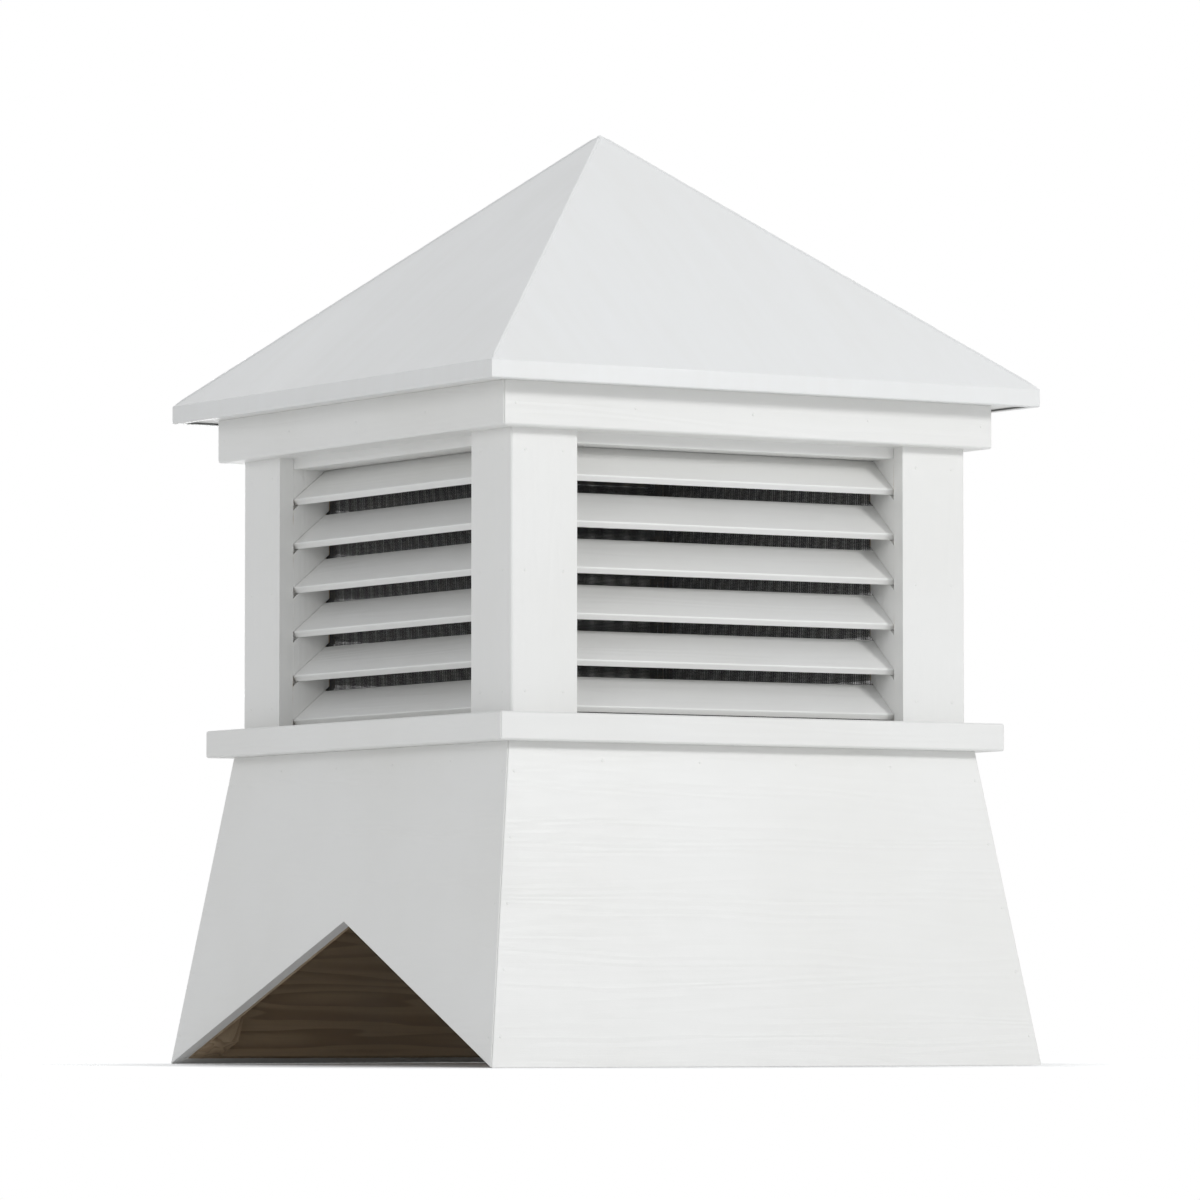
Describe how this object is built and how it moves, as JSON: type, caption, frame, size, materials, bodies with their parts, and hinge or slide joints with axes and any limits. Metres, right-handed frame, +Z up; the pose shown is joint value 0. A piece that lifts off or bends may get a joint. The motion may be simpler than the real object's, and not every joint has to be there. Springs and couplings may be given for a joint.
{
  "type": "garage cupola",
  "caption": "Square louvered cupola for a garage ridge, with a flared base notched over the roof, corner posts, slatted vents on every side and a pyramid metal roof.",
  "frame": {"origin": "centre of the base at the level of its lowest edges", "axes": "+Z up through the roof's point, X along the garage's ridge, -Y to the front"},
  "size_m": [0.762, 0.762, 1.1242],
  "materials": {
    "painted_wood": "satin",
    "roof_metal": "satin",
    "bare_wood": "matte",
    "screen": "matte"
  },
  "bodies": {
    "root": {"base_back": "painted_wood", "base_cleats": "bare_wood", "base_front": "painted_wood", "base_left": "painted_wood", "base_right": "painted_wood", "frieze_back": "painted_wood", "frieze_front": "painted_wood", "frieze_left": "painted_wood", "frieze_right": "painted_wood", "louver_blades_back": "painted_wood", "louver_blades_front": "painted_wood", "louver_blades_left": "painted_wood", "louver_blades_right": "painted_wood", "louver_head_back": "painted_wood", "louver_head_front": "painted_wood", "louver_head_left": "painted_wood", "louver_head_right": "painted_wood", "louver_jambs_back": "painted_wood", "louver_jambs_front": "painted_wood", "louver_jambs_left": "painted_wood", "louver_jambs_right": "painted_wood", "post_back_left": "painted_wood", "post_back_right": "painted_wood", "post_front_left": "painted_wood", "post_front_right": "painted_wood", "roof_deck_back": "bare_wood", "roof_deck_front": "bare_wood", "roof_deck_left": "bare_wood", "roof_deck_right": "bare_wood", "roof_sheet_back": "roof_metal", "roof_sheet_front": "roof_metal", "roof_sheet_left": "roof_metal", "roof_sheet_right": "roof_metal", "screen_back": "screen", "screen_front": "screen", "screen_left": "screen", "screen_right": "screen", "sill_back": "painted_wood", "sill_front": "painted_wood", "sill_left": "painted_wood", "sill_right": "painted_wood", "soffit_back": "painted_wood", "soffit_front": "painted_wood", "soffit_left": "painted_wood", "soffit_right": "painted_wood"}
  },
  "joints": []
}
